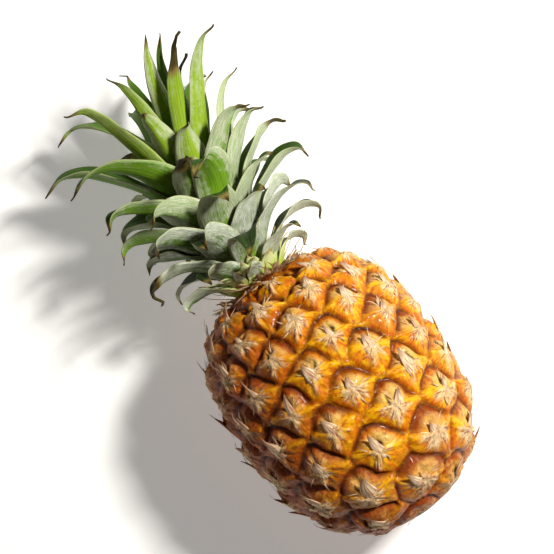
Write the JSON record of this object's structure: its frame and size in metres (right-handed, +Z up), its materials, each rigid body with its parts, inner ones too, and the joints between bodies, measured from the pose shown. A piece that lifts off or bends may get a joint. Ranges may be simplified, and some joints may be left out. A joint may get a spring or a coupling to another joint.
{
  "type": "pineapple",
  "caption": "Ripe pineapple lying on its side: barrel-shaped fruit covered in spiralling eyes, with a leafy green crown and a cut stalk.",
  "frame": {"origin": "middle of the small flat spot under the fruit that the pineapple rests on", "axes": "+X along the fruit's axis from the cut stalk to the crown, +Z up, +Y to the side the crown leans away from"},
  "size_m": [0.2905, 0.1292, 0.1227],
  "materials": {
    "rind": "waxy golden orange rind with brown creases",
    "cut_stalk": "dry fibrous cut stalk",
    "crown_stem": "pale green crown stem",
    "leaf_low": "dark grey-green leaf with pale bloom",
    "leaf_middle": "green leaf with pale bloom",
    "leaf_high": "bright yellow-green leaf"
  },
  "bodies": {
    "root": {"fruit": "rind", "stalk_stub": "cut_stalk", "crown_stem": "crown_stem", "crown_leaf_01": "leaf_low", "crown_leaf_02": "leaf_low", "crown_leaf_03": "leaf_low", "crown_leaf_04": "leaf_low", "crown_leaf_05": "leaf_low", "crown_leaf_06": "leaf_low", "crown_leaf_07": "leaf_low", "crown_leaf_08": "leaf_low", "crown_leaf_09": "leaf_low", "crown_leaf_10": "leaf_low", "crown_leaf_11": "leaf_low", "crown_leaf_12": "leaf_low", "crown_leaf_13": "leaf_low", "crown_leaf_14": "leaf_low", "crown_leaf_15": "leaf_low", "crown_leaf_16": "leaf_low", "crown_leaf_17": "leaf_low", "crown_leaf_18": "leaf_low", "crown_leaf_19": "leaf_low", "crown_leaf_20": "leaf_middle", "crown_leaf_21": "leaf_middle", "crown_leaf_22": "leaf_middle", "crown_leaf_23": "leaf_middle", "crown_leaf_24": "leaf_middle", "crown_leaf_25": "leaf_middle", "crown_leaf_26": "leaf_middle", "crown_leaf_27": "leaf_middle", "crown_leaf_28": "leaf_middle", "crown_leaf_29": "leaf_middle", "crown_leaf_30": "leaf_middle", "crown_leaf_31": "leaf_middle", "crown_leaf_32": "leaf_middle", "crown_leaf_33": "leaf_middle", "crown_leaf_34": "leaf_middle", "crown_leaf_35": "leaf_middle", "crown_leaf_36": "leaf_middle", "crown_leaf_37": "leaf_middle", "crown_leaf_38": "leaf_middle", "crown_leaf_39": "leaf_middle", "crown_leaf_40": "leaf_middle", "crown_leaf_41": "leaf_high", "crown_leaf_42": "leaf_high", "crown_leaf_43": "leaf_high", "crown_leaf_44": "leaf_high", "crown_leaf_45": "leaf_high", "crown_leaf_46": "leaf_high", "crown_leaf_47": "leaf_high", "crown_leaf_48": "leaf_high", "crown_leaf_49": "leaf_high", "crown_leaf_50": "leaf_high", "crown_leaf_51": "leaf_high", "crown_leaf_52": "leaf_high", "crown_leaf_53": "leaf_high", "crown_leaf_54": "leaf_high", "crown_leaf_55": "leaf_high", "crown_leaf_56": "leaf_high", "crown_leaf_57": "leaf_high"}
  },
  "joints": []
}
